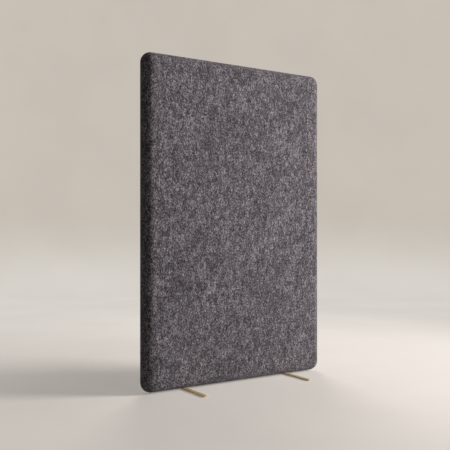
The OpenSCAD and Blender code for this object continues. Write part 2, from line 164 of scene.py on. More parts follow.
class Bench:
    """Where one material's nodes are put together."""

    def __init__(self, name: str) -> None:
        """Starts an empty material.

        Args:
            name: the material's name.
        """
        self.material = bpy.data.materials.new(name)
        self.material.use_nodes = True
        self.tree = self.material.node_tree
        self.tree.nodes.clear()
        self.shader = self.node("ShaderNodeBsdfPrincipled")
        self.output = self.node("ShaderNodeOutputMaterial", None, {0: self.shader.outputs[0]})
        self.here = self.node("ShaderNodeTexCoord").outputs["Object"]

    def node(
        self,
        kind: str,
        settings: Mapping[str, Any] | None = None,
        sockets: Mapping[Any, Any] | None = None,
    ) -> bpy.types.Node:
        """Adds one node.

        Args:
            kind: the node's type.
            settings: its own settings, set first. The key stops holds a ramp's stops.
            sockets: values or links for its inputs, by name or place.

        Returns:
            The node.
        """
        made = self.tree.nodes.new(kind)
        for key, value in (settings or {}).items():
            if key == "stops":
                self.set_stops(made.color_ramp, value)
            else:
                setattr(made, key, value)
        self.feed(made, sockets or {})
        return made

    def feed(self, node: bpy.types.Node, sockets: Mapping[Any, Any]) -> None:
        """Gives a node's inputs their values or links.

        Args:
            node: the node.
            sockets: wires, sockets or plain values, by the input's name or place.
        """
        for key, value in sockets.items():
            value = value.socket if isinstance(value, Wire) else value
            if isinstance(value, bpy.types.NodeSocket):
                self.tree.links.new(value, node.inputs[key])
            else:
                node.inputs[key].default_value = value

    @staticmethod
    def set_stops(ramp: bpy.types.ColorRamp, stops: Sequence[tuple[float, Colour]]) -> None:
        """Gives a colour ramp its stops.

        Args:
            ramp: the ramp.
            stops: places from 0 to 1, and colours.
        """
        while len(ramp.elements) < len(stops):
            ramp.elements.new(1.0)
        for element, (place, colour) in zip(ramp.elements, stops):
            element.position = place
            element.color = (*colour, 1.0)

    def wire(self, kind: str, settings: Mapping[str, Any] | None, sockets: Mapping[Any, Any]) -> Wire:
        """Adds a node, and gives its first output as a number."""
        return Wire(self, self.node(kind, settings, sockets).outputs[0])

    def laid(self, scale: Point, turn: Point = (0.0, 0.0, 0.0), start: Any = None) -> bpy.types.NodeSocket:
        """The piece's own coordinates, turned and then scaled.

        Args:
            scale: how many pattern units go on a metre, along each axis after the turn.
            turn: the turn about each axis, in radians.
            start: coordinates to begin from, or None for the piece's own.

        Returns:
            The coordinates' socket.
        """
        turned = self.node("ShaderNodeMapping", None, {0: start or self.here, "Rotation": turn})
        return self.node("ShaderNodeMapping", None, {0: turned.outputs[0], "Scale": scale}).outputs[0]

    def noise(self, where: Any, scale: float = 1.0, detail: float = 2.0, rough: float = 0.5) -> Wire:
        """Soft noise, from 0 to 1.

        Args:
            where: the coordinates.
            scale: the noise's scale on them.
            detail: how many finer layers it has.
            rough: how strong the finer layers are.

        Returns:
            The noise's height.
        """
        sockets = {"Vector": where, "Scale": scale, "Detail": detail, "Roughness": rough}
        return self.wire("ShaderNodeTexNoise", None, sockets)

    def cells(self, scale: float) -> bpy.types.Node:
        """A pattern of cells on the piece's own coordinates."""
        sockets = {"Vector": self.here, "Scale": scale}
        return self.node("ShaderNodeTexVoronoi", {"feature": "F1"}, sockets)

    def length(self, where: Any) -> Wire:
        """The length of a vector."""
        measured = self.node("ShaderNodeVectorMath", {"operation": "LENGTH"}, {0: where})
        return Wire(self, measured.outputs["Value"])

    def drift(self, where: Any, scale: float, reach: float) -> bpy.types.NodeSocket:
        """Coordinates that wander softly, so that straight patterns bend.

        Args:
            where: the coordinates.
            scale: the noise's scale on them.
            reach: how far they wander.

        Returns:
            The wandering coordinates.
        """
        sockets = {"Vector": where, "Scale": scale, "Detail": 1.0}
        wander = self.node("ShaderNodeTexNoise", None, sockets).outputs["Color"]
        sockets = {0: wander, 1: (0.5, 0.5, 0.5)}
        centred = self.node("ShaderNodeVectorMath", {"operation": "SUBTRACT"}, sockets)
        sockets = {0: centred.outputs[0], 1: (reach, reach, reach), 2: where}
        return self.node("ShaderNodeVectorMath", {"operation": "MULTIPLY_ADD"}, sockets).outputs[0]

    def along(self, axis: Axis) -> Wire:
        """The piece's own coordinate along one axis."""
        apart = self.node("ShaderNodeSeparateXYZ", None, {0: self.here})
        return Wire(self, apart.outputs[axis.value])

    def ramp(self, value: Wire, *stops: tuple[float, Colour]) -> bpy.types.NodeSocket:
        """A colour for each value between the stops."""
        return self.node("ShaderNodeValToRGB", {"stops": stops}, {0: value}).outputs[0]

    def mix(self, share: Any, first: Any, second: Any, how: str = "MIX") -> bpy.types.NodeSocket:
        """Blends two colours.

        Args:
            share: how much of the second shows, from 0 to 1.
            first: the colour that lies under.
            second: the colour that lies over.
            how: the blend type.

        Returns:
            The blended colour.
        """
        first, second = ((*c, 1.0) if isinstance(c, tuple) else c for c in (first, second))
        settings = {"data_type": "RGBA", "blend_type": how}
        return self.node("ShaderNodeMix", settings, {0: share, 6: first, 7: second}).outputs[2]

    def finish(self, colour: Any, rough: Any, height: Wire | None, depth: float, **fixed: Any) -> None:
        """Joins a pattern to the shader.

        Args:
            colour: the base colour.
            rough: the roughness.
            height: the relief, from 0 to 1, or None.
            depth: how deep the relief is, in metres.
            fixed: the shader's sockets that stay the same all over, with _ for a space.
        """
        values = {"Base Color": colour, "Roughness": rough}
        values.update({key.replace("_", " "): value for key, value in fixed.items()})
        if height is not None:
            sockets = {"Height": height, "Distance": depth, "Strength": 1.0}
            values["Normal"] = self.node("ShaderNodeBump", None, sockets).outputs[0]
        self.feed(self.shader, values)


# Finishes


def strand_scale(across: float, along: float, axis: Axis = Axis.Z) -> Point:
    """The scale that draws a noise out into strands of a width and a length along an axis."""
    return tuple(1 / (along if one is axis else across) for one in Axis)


@dataclass(frozen=True)
class Finish:
    """A finish that pieces wear, and its slot in the record. Each kind lays its own pattern."""

    name: str
    slot: Slot | None = None

    def lay(self, bench: Bench) -> None:
        """Lays the pattern on a bench."""
        raise NotImplementedError

    @cache
    def material(self) -> bpy.types.Material:
        """Lays the pattern the first time it is asked for.

        Returns:
            The Blender material.
        """
        bench = Bench(self.name)
        self.lay(bench)
        return bench.material


@dataclass(frozen=True)
class MelangeFelt(Finish):
    """Pressed wool felt in which pale and charcoal fibres lie mixed."""

    dark: Colour = (0.022, 0.020, 0.024)
    middle: Colour = (0.109, 0.097, 0.108)
    pale: Colour = (0.385, 0.356, 0.400)
    cool: Colour = (0.95, 0.97, 1.0)
    warm: Colour = (1.0, 0.97, 0.91)
    relief: float = 0.6 * MM
    tuft: tuple[float, float] = (4.6 * MM, 9 * MM)
    streak: tuple[float, float] = (7 * MM, 40 * MM)
    fibre: tuple[float, float] = (0.5 * MM, 8 * MM)
    tuft_leans: tuple[float, ...] = (5.0, 38.0, -33.0)
    fibre_leans: tuple[float, ...] = (8.0, 57.0, -44.0, 84.0)

    def strands(
        self, bench: Bench, start: Any, size: tuple[float, float], leans: Sequence[float],
    ) -> tuple[Wire, Wire]:
        """Crossing strands, each a noise drawn out in its own direction.

        Args:
            bench: the material's bench.
            start: the coordinates they lie on.
            size: a strand's width and length.
            leans: how far each set leans from upright, in degrees.

        Returns:
            The sets' mean and the strongest of them.
        """
        sets = []
        for degrees in leans:
            turn = (math.radians(degrees / 3), math.radians(degrees), 0.0)
            sets.append(bench.noise(bench.laid(strand_scale(*size), turn, start), 1.0, 4.0, 0.68))
        strongest = total = sets[0]
        for one in sets[1:]:
            strongest, total = strongest.highest(one), total + one
        return total * (1 / len(sets)), strongest

    def lay(self, bench: Bench) -> None:
        """Lays tufts, upright streaks, fibres and slow changes of tone over each other.

        Args:
            bench: the material's bench.
        """
        wide = bench.drift(bench.here, 40.0, 6 * MM)
        curled = bench.drift(wide, 150.0, 2.5 * MM)
        tufts = self.strands(bench, curled, self.tuft, self.tuft_leans)[0].spread(0.41, 0.59)
        streaks = self.strands(bench, wide, self.streak, (3.0,))[0].spread(0.32, 0.68)
        fibres = self.strands(bench, curled, self.fibre, self.fibre_leans)[1].spread(0.48, 0.76)
        patches = bench.noise(bench.laid((55.0, 55.0, 34.0)), 1.0, 2.0).spread(0.34, 0.66)
        slow = bench.noise(bench.here, 9.0, 3.0, 0.6).spread(0.3, 0.7)
        tone = tufts * 0.47 + fibres * 0.22 + streaks * 0.12 + patches * 0.13 + slow * 0.06
        grey = bench.ramp(tone, (0.21, self.dark), (0.50, self.middle), (0.79, self.pale))
        hue = bench.noise(bench.laid((90.0, 90.0, 60.0), (0.0, 0.7, 0.0)), 1.0, 3.0, 0.65).spread(0.38, 0.62)
        colour = bench.mix(1.0, grey, bench.mix(hue, self.cool, self.warm), "MULTIPLY")
        rough = fibres.spread(0.0, 1.0, 0.98, 0.86)
        bench.finish(
            colour, rough, tufts * 0.4 + fibres * 0.6, self.relief,
            Sheen_Weight=0.25, Sheen_Roughness=0.45, Sheen_Tint=(0.80, 0.76, 0.88, 1.0),
            Specular_IOR_Level=0.2,
        )


@dataclass(frozen=True)
class BrushedMetal(Finish):
    """Metal with fine brush lines along one axis, under a thin satin lacquer or plating."""

    colour: Colour = (0.60, 0.45, 0.22)
    shade: Colour = (0.36, 0.25, 0.11)
    brush: Axis = Axis.Y
    line: float = 0.35 * MM
    rough: float = 0.36
    metallic: float = 1.0

    def lay(self, bench: Bench) -> None:
        """Lays brush lines and a faint cloudy patina.

        Args:
            bench: the material's bench.
        """
        scale = strand_scale(self.line, self.line * 90, self.brush)
        lines = bench.noise(bench.laid(scale), 1.0, 3.0, 0.65)
        cloud = bench.noise(bench.here, 38.0, 3.0, 0.6).spread(0.38, 0.72)
        specks = bench.noise(bench.here, 900.0, 1.0).spread(0.66, 0.74)
        tarnish = cloud * 0.30 + lines.spread(0.3, 0.75) * 0.22 + specks * 0.35
        colour = bench.mix(tarnish, self.colour, self.shade)
        rough = lines.spread(0.25, 0.75, self.rough - 0.07, self.rough + 0.08) + cloud * 0.07
        bench.finish(colour, rough, lines, 0.018 * MM, Metallic=self.metallic)


@dataclass(frozen=True)
class ZincSteel(Finish):
    """Zinc-plated steel, with its cloudy spangle."""

    colour: Colour = (0.46, 0.47, 0.49)
    shade: Colour = (0.30, 0.31, 0.34)

    def lay(self, bench: Bench) -> None:
        """Lays spangle and fine grain.

        Args:
            bench: the material's bench.
        """
        spangle = bench.noise(bench.cells(260.0).outputs["Position"], 700.0, 1.0).spread(0.3, 0.7)
        grain = bench.noise(bench.here, 1500.0, 2.0)
        colour = bench.mix(spangle * 0.55, self.colour, self.shade)
        rough = spangle * 0.12 + grain * 0.10 + 0.24
        bench.finish(colour, rough, grain, 0.012 * MM, Metallic=1.0)


@dataclass(frozen=True)
class Timber(Finish):
    """Planed softwood, with its rings drawn out along the grain."""

    grain: Axis = Axis.X
    early: Colour = (0.74, 0.55, 0.31)
    late: Colour = (0.50, 0.29, 0.115)
    ring: float = 7 * MM
    fibre: tuple[float, float] = (0.7 * MM, 35 * MM)
    between: Colour = (0.66, 0.45, 0.22)

    def lay(self, bench: Bench) -> None:
        """Lays rings and fine fibres.

        Args:
            bench: the material's bench.
        """
        slow = bench.laid(strand_scale(self.ring * 3, self.ring * 60, self.grain))
        rings = (bench.length(bench.drift(slow, 0.8, 0.9)) * 16.0).sine().spread(-0.7, 1.0)
        fibres = bench.noise(bench.laid(strand_scale(*self.fibre, self.grain)), 1.0, 3.0, 0.6)
        tone = rings * 0.62 + fibres.spread(0.3, 0.7) * 0.38
        colour = bench.ramp(tone, (0.08, self.early), (0.55, self.between), (0.95, self.late))
        bench.finish(colour, fibres.spread(0.3, 0.7, 0.55, 0.72), fibres + rings * 0.5, 0.08 * MM)


@dataclass(frozen=True)
class PressedBoard(Finish):
    """Brown pressed-fibre board, one side smooth and slightly mottled."""

    colour: Colour = (0.27, 0.15, 0.07)
    shade: Colour = (0.16, 0.082, 0.037)

    def lay(self, bench: Bench) -> None:
        """Lays mottling and short fibres.

        Args:
            bench: the material's bench.
        """
        fibres = bench.noise(bench.drift(bench.here, 120.0, 2 * MM), 420.0, 4.0, 0.7)
        cloud = bench.noise(bench.here, 26.0, 3.0)
        tone = fibres.spread(0.35, 0.68) * 0.7 + cloud.spread(0.35, 0.65) * 0.3
        colour = bench.mix(tone, self.colour, self.shade)
        bench.finish(colour, tone.spread(0.0, 1.0, 0.5, 0.7), fibres, 0.06 * MM)


@dataclass(frozen=True)
class CellFoam(Finish):
    """Charcoal open-cell foam, with its fine pores painted darker as painted shade in their hollows."""

    colour: Colour = (0.075, 0.075, 0.080)
    # The colour deep in the pores is painted shade, not the foam's own colour.
    shade: Colour = (0.018, 0.018, 0.020)

    def lay(self, bench: Bench) -> None:
        """Lays two sizes of pore, painted darker as painted shade in their hollows, and a slow change of
        tone.

        Args:
            bench: the material's bench.
        """
        large, small = (Wire(bench, bench.cells(scale).outputs[0]) for scale in (420.0, 1100.0))
        cloud = bench.noise(bench.here, 20.0, 2.0).spread(0.3, 0.7)
        pores = large.spread(0.15, 0.6) * 0.6 + small.spread(0.1, 0.6) * 0.4
        # The pores are painted darker where they sink: painted shade in their hollows.
        tone = (1 - pores) * 0.8 + cloud * 0.2
        colour = bench.mix(tone, self.shade, self.colour)
        bench.finish(colour, 0.95, 1 - pores, 0.5 * MM, Specular_IOR_Level=0.15)


@dataclass(frozen=True)
class WoolBatt(Finish):
    """Sound-absorbing wool, in matted fibres of several greys and straws."""

    pale: Colour = (0.62, 0.60, 0.49)
    dark: Colour = (0.25, 0.24, 0.17)
    fibre: tuple[float, float] = (0.8 * MM, 12 * MM)

    def lay(self, bench: Bench) -> None:
        """Lays matted fibres over soft tufts.

        Args:
            bench: the material's bench.
        """
        bent = bench.drift(bench.drift(bench.here, 60.0, 8 * MM), 300.0, 1.5 * MM)
        up, flat = (
            bench.noise(bench.laid(strand_scale(*self.fibre), turn, bent), 1.0, 3.0, 0.6)
            for turn in ((0.0, 0.5, 0.0), (0.2, -1.1, 0.0))
        )
        tufts = bench.noise(bench.here, 55.0, 3.0, 0.6).spread(0.3, 0.7)
        tone = up.highest(flat).spread(0.4, 0.75) * 0.7 + tufts * 0.3
        bench.finish(
            bench.mix(tone, self.dark, self.pale), 0.96, tone, 1.6 * MM,
            Sheen_Weight=0.3, Specular_IOR_Level=0.15,
        )


@dataclass(frozen=True)
class PadRubber(Finish):
    """Dark rubber with a fine moulded grain and a little floor dust."""

    colour: Colour = (0.030, 0.030, 0.030)

    def lay(self, bench: Bench) -> None:
        """Lays grain and dust.

        Args:
            bench: the material's bench.
        """
        grain = bench.noise(bench.here, 2200.0, 2.0)
        dust = bench.noise(bench.here, 130.0, 4.0, 0.65).spread(0.52, 0.75)
        colour = bench.mix(dust * 0.5, self.colour, (0.12, 0.11, 0.10))
        bench.finish(colour, grain.spread(0.3, 0.7, 0.62, 0.8), grain, 0.05 * MM, Specular_IOR_Level=0.4)


@dataclass(frozen=True)
class WovenTape(Finish):
    """Woven polyester tape with fine twill ribs across it."""

    colour: Colour = (0.060, 0.053, 0.057)
    shade: Colour = (0.020, 0.017, 0.019)
    rib: float = 0.5 * MM

    def lay(self, bench: Bench) -> None:
        """Lays slanting ribs crossed by the warp.

        Args:
            bench: the material's bench.
        """
        count = 2 * math.pi / self.rib
        along, across = bench.along(Axis.X), bench.along(Axis.Z)
        twill = ((along + across * 0.8) * count).sine()
        warp = (across * (count * 1.6)).sine()
        weave = twill * 0.35 + warp * 0.15 + 0.5
        fluff = bench.noise(bench.here, 1300.0, 2.0).spread(0.3, 0.7)
        tone = weave * 0.7 + fluff * 0.3
        bench.finish(bench.mix(tone, self.shade, self.colour), 0.85, tone, 0.12 * MM, Sheen_Weight=0.2)


@dataclass(frozen=True)
class Nylon(Finish):
    """Dyed nylon, with faint draw lines and a soft gloss."""

    colour: Colour = (0.060, 0.054, 0.060)

    def lay(self, bench: Bench) -> None:
        """Lays faint draw lines.

        Args:
            bench: the material's bench.
        """
        lines = bench.noise(bench.drift(bench.here, 800.0, 1 * MM), 1800.0, 2.0)
        colour = bench.mix(lines.spread(0.3, 0.7), tuple(c * 0.7 for c in self.colour), self.colour)
        bench.finish(colour, lines.spread(0.3, 0.7, 0.32, 0.46), lines, 0.02 * MM)


@dataclass(frozen=True)
class Thread(Finish):
    """Bonded sewing thread, twisted."""

    colour: Colour = (0.165, 0.150, 0.162)
    ply: float = 0.45 * MM

    def lay(self, bench: Bench) -> None:
        """Lays the twist as slanting lines.

        Args:
            bench: the material's bench.
        """
        count = 2 * math.pi / self.ply
        run = bench.along(Axis.X) + bench.along(Axis.Z) * 0.7
        twist = (run * count).sine() * 0.5 + 0.5
        fluff = bench.noise(bench.here, 2500.0, 2.0)
        tone = twist * 0.6 + fluff * 0.4
        colour = bench.mix(tone, tuple(c * 0.45 for c in self.colour), self.colour)
        bench.finish(colour, 0.7, tone, 0.06 * MM, Sheen_Weight=0.15)


@dataclass(frozen=True)
class StudioPaper(Finish):
    """A plain pale stage.

    The camera sees it as even paper that still takes the object's shadow. The light that it
    throws back is that of a pale floor and of dim walls far away.
    """

    lit: Colour = (0.850, 0.805, 0.750)
    floor: Colour = (0.690, 0.655, 0.605)
    wall: Colour = (0.580, 0.532, 0.470)
    floor_bounce: Colour = (0.42, 0.40, 0.37)
    wall_bounce: Colour = (0.08, 0.076, 0.070)
    near_glow: float = 0.30
    far_glow: float = 1.0
    near: float = 0.5
    far: float = 3.2
    wall_from: float = 0.9

    def lay(self, bench: Bench) -> None:
        """Mixes lit paper and even paper by distance, and then the dim one by the kind of ray.

        Args:
            bench: the material's bench.
        """
        path = bench.node("ShaderNodeLightPath").outputs
        straight = Wire(bench, path["Is Camera Ray"]).highest(Wire(bench, path["Is Glossy Ray"]))
        shown = straight.highest(Wire(bench, path["Is Transmission Ray"]))
        rise = bench.along(Axis.Z).spread(0.0, self.wall_from)
        cloud = bench.noise(bench.here, 1.3, 3.0).spread(0.3, 0.7, 0.0, 0.04)
        flat = bench.mix(cloud, bench.mix(rise, self.floor, self.wall), (0.0, 0.0, 0.0))
        bright = bench.mix(cloud, self.lit, (0.0, 0.0, 0.0))
        lit = bench.node("ShaderNodeBsdfDiffuse", None, {"Color": bright})
        even = bench.node("ShaderNodeEmission", None, {"Color": flat, "Strength": 1.0})
        share = bench.length(bench.here).spread(self.near, self.far, self.near_glow, self.far_glow)
        paper = self.blend(bench, share, lit, even)
        bounce = bench.mix(rise, self.floor_bounce, self.wall_bounce)
        dim = bench.node("ShaderNodeBsdfDiffuse", None, {"Color": bounce})
        whole = self.blend(bench, shown, dim, paper)
        bench.tree.links.new(whole.outputs[0], bench.output.inputs[0])
        bench.tree.nodes.remove(bench.shader)

    @staticmethod
    def blend(bench: Bench, share: Wire, first: bpy.types.Node, second: bpy.types.Node) -> bpy.types.Node:
        """Mixes two shaders.

        Args:
            bench: the material's bench.
            share: how much of the second shows.
            first: one shader's node.
            second: the other's.

        Returns:
            The mixing node.
        """
        return bench.node("ShaderNodeMixShader", None, {0: share, 1: first.outputs[0], 2: second.outputs[0]})


# Pieces


@dataclass
class Piece:
    """One mesh, shaped with Blender's own tools, then dressed and set on its body."""

    obj: bpy.types.Object

    @staticmethod
    def clear_desk() -> None:
        """Deselects everything, so that operators act only on the piece in hand."""
        bpy.ops.object.select_all(action="DESELECT")

    @classmethod
    def placed(
        cls, name: str, add: Callable[..., Any], scale: Sequence[float] = (1.0, 1.0, 1.0), **settings: Any,
    ) -> "Piece":
        """Adds a mesh, and puts its place into its vertices.

        Args:
            name: the piece's name.
            add: the operator or function that adds it.
            scale: how much it is stretched along each axis.
            settings: what the operator is told.

        Returns:
            The piece.
        """
        cls.clear_desk()
        add(**settings)
        made = bpy.context.object
        made.scale = scale
        bpy.ops.object.transform_apply(location=True, rotation=True, scale=True)
        made.name = made.data.name = name
        return cls(made)

    @classmethod
    def block(cls, name: str, low: Sequence[float], high: Sequence[float]) -> "Piece":
        """A block between two corners.

        Args:
            name: the piece's name.
            low: its lowest corner.
            high: its highest corner.

        Returns:
            The piece.
        """
        low, high = Vector(low), Vector(high)
        cube = bpy.ops.mesh.primitive_cube_add
        return cls.placed(name, cube, high - low, size=1.0, location=(low + high) / 2)

    @classmethod
    def rod(
        cls, name: str, middle: Sequence[float], radius: float, length: float,
        axis: Axis = Axis.Z, sides: int = 48, end_radius: float | None = None,
    ) -> "Piece":
        """A rod or a cone along one axis.

        Args:
            name: the piece's name.
            middle: its middle.
            radius: its radius, at the low end of a cone.
            length: its length.
            axis: the axis it lies along.
            sides: how many sides it has.
            end_radius: the radius at its high end, or None for a rod.

        Returns:
            The piece.
        """
        turn = {Axis.X: (0, math.pi / 2, 0), Axis.Y: (-math.pi / 2, 0, 0), Axis.Z: (0, 0, 0)}[axis]
        return cls.placed(
            name, bpy.ops.mesh.primitive_cone_add, vertices=sides, radius1=radius,
            radius2=radius if end_radius is None else end_radius,
            depth=length, location=middle, rotation=turn,
        )

    def take(self) -> None:
        """Makes this piece the one that operators act on."""
        self.clear_desk()
        self.obj.select_set(True)
        bpy.context.view_layer.objects.active = self.obj

    def points(self) -> np.ndarray:
        """Looks up where its vertices are.

        Returns:
            Their places, one row each.
        """
        flat = np.zeros(len(self.obj.data.vertices) * 3)
        self.obj.data.vertices.foreach_get("co", flat)
        return flat.reshape(-1, 3)

    def move(self, way: Callable[[np.ndarray], np.ndarray]) -> "Piece":
        """Moves every vertex.

        Args:
            way: takes the vertices' places and gives their new ones.

        Returns:
            The piece.
        """
        self.obj.data.vertices.foreach_set("co", way(self.points()).ravel())
        self.obj.data.update()
        return self

    def pick(self, kind: Pick, test: Callable[..., bool]) -> "Piece":
        """Selects edges or faces by their place or normal.

        Args:
            kind: what is selected.
            test: takes an edge's two ends, or a face's middle and normal.

        Returns:
            The piece.
        """
        mesh = self.obj.data
        for group in (mesh.vertices, mesh.edges, mesh.polygons):
            group.foreach_set("select", np.zeros(len(group), bool))
        if kind is Pick.EDGES:
            place = [v.co for v in mesh.vertices]
            chosen = [e for e in mesh.edges if test(*(place[i] for i in e.vertices))]
        else:
            chosen = [f for f in mesh.polygons if test(f.center, f.normal)]
        for item in chosen:
            item.select = True
        bpy.context.tool_settings.mesh_select_mode = kind.value
        return self

    def pick_all(self) -> "Piece":
        """Selects every face."""
        return self.pick(Pick.FACES, lambda middle, normal: True)

    def pick_along(self, axis: Axis, longer_than: float) -> "Piece":
        """Selects the edges that reach farther than a length along an axis."""
        return self.pick(Pick.EDGES, lambda a, b: abs(a[axis.value] - b[axis.value]) > longer_than)

    def edit(self, *steps: Callable[[], Any]) -> "Piece":
        """Runs edit-mode steps on what is picked.

        Args:
            steps: the operator calls, in order.

        Returns:
            The piece.
        """
        self.take()
        bpy.ops.object.mode_set(mode="EDIT")
        for step in steps:
            step()
        bpy.ops.object.mode_set(mode="OBJECT")
        return self

    def divide(self, axis: Axis, longer_than: float, parts: int) -> "Piece":
        """Divides the edges that reach farther than a length along an axis into equal parts."""
        self.pick_along(axis, longer_than)
        return self.edit(lambda: bpy.ops.mesh.subdivide(number_cuts=parts - 1))

    def bevel(self, width: float, segments: int) -> "Piece":
        """Rounds the picked edges.

        Args:
            width: how far the rounding reaches.
            segments: how many flats it has.

        Returns:
            The piece.
        """
        return self.edit(lambda: bpy.ops.mesh.bevel(
            offset=width, segments=segments, profile=0.5, affect="EDGES", clamp_overlap=False,
        ))

    def merge(self, distance: float = TINY) -> "Piece":
        """Merges vertices that lie together, and turns all faces outwards.

        Args:
            distance: how far apart they may lie.

        Returns:
            The piece.
        """
        return self.pick_all().edit(
            lambda: bpy.ops.mesh.remove_doubles(threshold=distance),
            lambda: bpy.ops.mesh.select_all(action="SELECT"),
            lambda: bpy.ops.mesh.normals_make_consistent(inside=False),
        )

    def close(self) -> "Piece":
        """Fills its open ends, then merges it.

        Returns:
            The piece.
        """
        self.pick(Pick.EDGES, lambda a, b: False).edit(
            lambda: bpy.ops.mesh.select_non_manifold(),
            lambda: bpy.ops.mesh.fill_holes(sides=0),
        )
        return self.merge()

    def slice(self, point: Sequence[float], normal: Sequence[float], **settings: bool) -> "Piece":
        """Cuts the picked faces along a plane.

        Args:
            point: a point of the plane.
            normal: the plane's normal.
            settings: clear_inner, clear_outer or use_fill, where the cut takes a side away.

        Returns:
            The piece.
        """
        return self.edit(lambda: bpy.ops.mesh.bisect(
            plane_co=tuple(point), plane_no=tuple(normal), threshold=1e-7, **settings,
        ))

    def modify(self, kind: str, **settings: Any) -> "Piece":
        """Adds a modifier and applies it.

        Args:
            kind: the modifier's type.
            settings: its settings.

        Returns:
            The piece.
        """
        self.take()
        added = self.obj.modifiers.new(kind.lower(), kind)
        for key, value in settings.items():
            setattr(added, key, value)
        bpy.ops.object.modifier_apply(modifier=added.name)
        return self

    def cut(self, *others: "Piece", how: str = "DIFFERENCE") -> "Piece":
        """Takes other pieces away from this one, or unites them, and uses them up.

        Args:
            others: the other pieces.
            how: the boolean's operation.

        Returns:
            The piece.
        """
        for other in others:
            self.modify("BOOLEAN", object=other.obj, operation=how, solver="EXACT")
            bpy.data.objects.remove(other.obj)
        return self

    def ease(self, width: float, segments: int = 2, above_deg: float = 40.0) -> "Piece":
        """Rounds every edge that is sharper than an angle.

        Args:
            width: how far the rounding reaches.
            segments: how many flats it has.
            above_deg: the angle.

        Returns:
            The piece.
        """
        return self.modify(
            "BEVEL", width=width, segments=segments, limit_method="ANGLE",
            angle_limit=math.radians(above_deg), use_clamp_overlap=True,
        )

    def copies(self, count: int, step: Point, **settings: Any) -> "Piece":
        """Repeats it in a row, in one mesh.

        Args:
            count: how many there are.
            step: the way from one to the next.
            settings: how they are joined.

        Returns:
            The piece.
        """
        return self.modify(
            "ARRAY", count=count, use_relative_offset=False,
            use_constant_offset=True, constant_offset_displace=step, **settings,
        )

    def turn_into(self, matrix: Matrix) -> "Piece":
        """Moves the mesh, and keeps the object at the origin.

        Args:
            matrix: where the mesh goes.

        Returns:
            The piece.
        """
        self.obj.data.transform(matrix)
        self.obj.data.update()
        return self

    def wear(
        self, finish: Finish, *replaces: str,
        body: Body = Body.SCREEN, fill: float | None = None, smooth_deg: float = 35.0,
    ) -> "Piece":
        """Dresses the piece and sets it on its body.

        Args:
            finish: what it wears.
            replaces: the CAD nodes it stands for.
            body: the body it rides on.
            fill: how tightly it is filled, for a padded piece. Not used.
            smooth_deg: faces that meet at less than this angle shade as one.

        Returns:
            The piece.
        """
        self.take()
        bpy.ops.object.shade_smooth_by_angle(angle=math.radians(smooth_deg))
        self.obj.data.materials.clear()
        self.obj.data.materials.append(finish.material())
        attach(self.obj, body.value)
        if replaces:
            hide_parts(*replaces)
        self.obj.data.calc_loop_triangles()
        log.info("%s: %d triangles", self.obj.name, len(self.obj.data.loop_triangles))
        return self


def dress_nodes(finish: Finish, *names: str) -> None:
    """Gives CAD nodes that stay a better finish.

    Args:
        finish: what they wear.
        names: the nodes' names.
    """
    for name in names:
        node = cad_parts[name]
        for holder in node.material_slots:
            holder.material = finish.material()
        log.info("%s: CAD node in %s", name, finish.name)


# Sub-assemblies


def directions(ways: np.ndarray) -> np.ndarray:
    """The same vectors at a length of one, one row each."""
    return ways / np.maximum(np.linalg.norm(ways, axis=1, keepdims=True), TINY)


@dataclass(frozen=True)
class SlabForm:
    """The panel's form: flat faces, with edges and corners rounded over half the thickness."""

    width: float = 1000 * MM
    height: float = 1500 * MM
    radius: float = 45 * MM
    floor_gap: float = 4 * MM

    @property
    def axis_x(self) -> float:
        """Where the axes of the upright rounded edges lie."""
        return self.width / 2 - self.radius

    @property
    def low_z(self) -> float:
        """The height of the lower rounded edge's axis."""
        return self.floor_gap + self.radius

    @property
    def high_z(self) -> float:
        """The height of the upper rounded edge's axis."""
        return self.floor_gap + self.height - self.radius

    def snap(self, points: np.ndarray, inset: float) -> np.ndarray:
        """Moves points straight onto the form.

        Args:
            points: the points.
            inset: how far inside the outer surface they go.

        Returns:
            The moved points.
        """
        heart = points.copy()
        heart[:, 0] = np.clip(points[:, 0], -self.axis_x, self.axis_x)
        heart[:, 1] = 0
        heart[:, 2] = np.clip(points[:, 2], self.low_z, self.high_z)
        return heart + directions(points - heart) * (self.radius - inset)

    def build(self, name: str, inset: float, arc: int, step: float) -> Piece:
        """Makes the form as a closed mesh of even quads.

        Args:
            name: the piece's name.
            inset: how far inside the outer surface it lies.
            arc: how many segments a quarter round has.
            step: the length of the quads on the faces.

        Returns:
            The piece.
        """
        half_x, half_y = self.width / 2 - inset, self.radius - inset
        low, high = self.floor_gap + inset, self.floor_gap + self.height - inset
        made = Piece.block(name, (-half_x, -half_y, low), (half_x, half_y, high))
        seam = 0.05 * MM
        made.pick_all().bevel(half_y - seam, arc).merge(3 * seam)
        for axis, half in ((Axis.X, self.axis_x), (Axis.Z, (self.high_z - self.low_z) / 2)):
            made.divide(axis, half, round(2 * half / step))
        return made.move(lambda points: self.snap(points, inset))


@dataclass(frozen=True)
class ZipLine:
    """Where the zip lies: along X, round the lower rear edge, facing out and down."""

    slab: SlabForm = field(default_factory=SlabForm)
    angle_deg: float = 55.0
    length: float = 860 * MM
    slit_half: float = 4.6 * MM
    slider_x: float = 421.2 * MM

    @property
    def place(self) -> Matrix:
        """From the zip's own frame, where Z is straight out, to the screen's."""
        turn = Matrix.Rotation(math.radians(180 + self.angle_deg), 4, "X")
        return Matrix.Translation((0, 0, self.slab.low_z)) @ turn

    def bearing(self, points: np.ndarray) -> np.ndarray:
        """How far round the edge points lie from the zip's middle, in radians."""
        round_from_down = np.arctan2(points[:, 1], self.slab.low_z - points[:, 2])
        return round_from_down - math.radians(self.angle_deg)

    def side_normal(self, across: float) -> Vector:
        """The normal of the plane through the edge's axis that cuts it at a width across."""
        turn = math.asin(across / self.slab.radius)
        return self.place.to_3x3() @ Vector((0, math.cos(turn), -math.sin(turn)))


